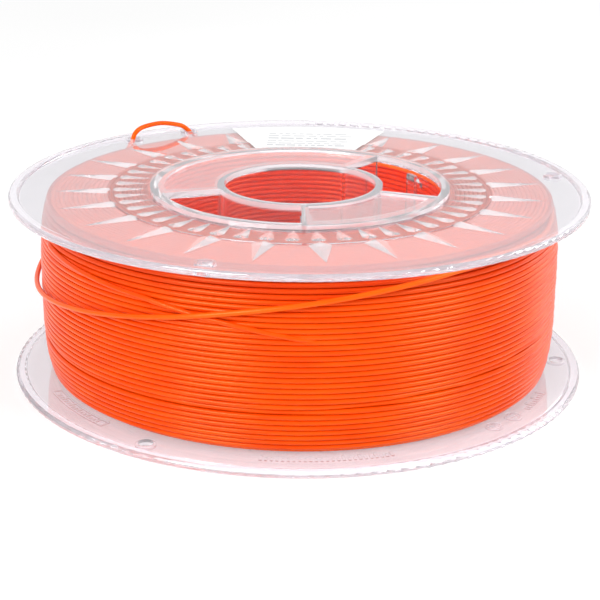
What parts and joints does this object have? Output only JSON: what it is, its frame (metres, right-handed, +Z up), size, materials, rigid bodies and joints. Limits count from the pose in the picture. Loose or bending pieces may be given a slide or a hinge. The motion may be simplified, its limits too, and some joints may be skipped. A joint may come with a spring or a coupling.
{
  "type": "filament spool",
  "caption": "Clear snap-together flanged spool, fully wound with orange filament, its end parked through two rim holes.",
  "frame": {"origin": "centre of the face the spool rests on, on the bore axis", "axes": "+Z up along the bore axis; +Y towards the middle of the label; the side seen from the front is -Y"},
  "size_m": [0.2, 0.2, 0.0708],
  "materials": {
    "clear_plastic": "clear moulded styrene, polished",
    "orange_filament": "satin gloss, lengthwise sheen",
    "label_paper": "matt coated paper"
  },
  "bodies": {
    "root": {"upper_half_spool": "clear_plastic", "lower_half_spool": "clear_plastic", "filament_winding": "orange_filament", "filament_end": "orange_filament", "flange_label": "label_paper"}
  },
  "joints": []
}
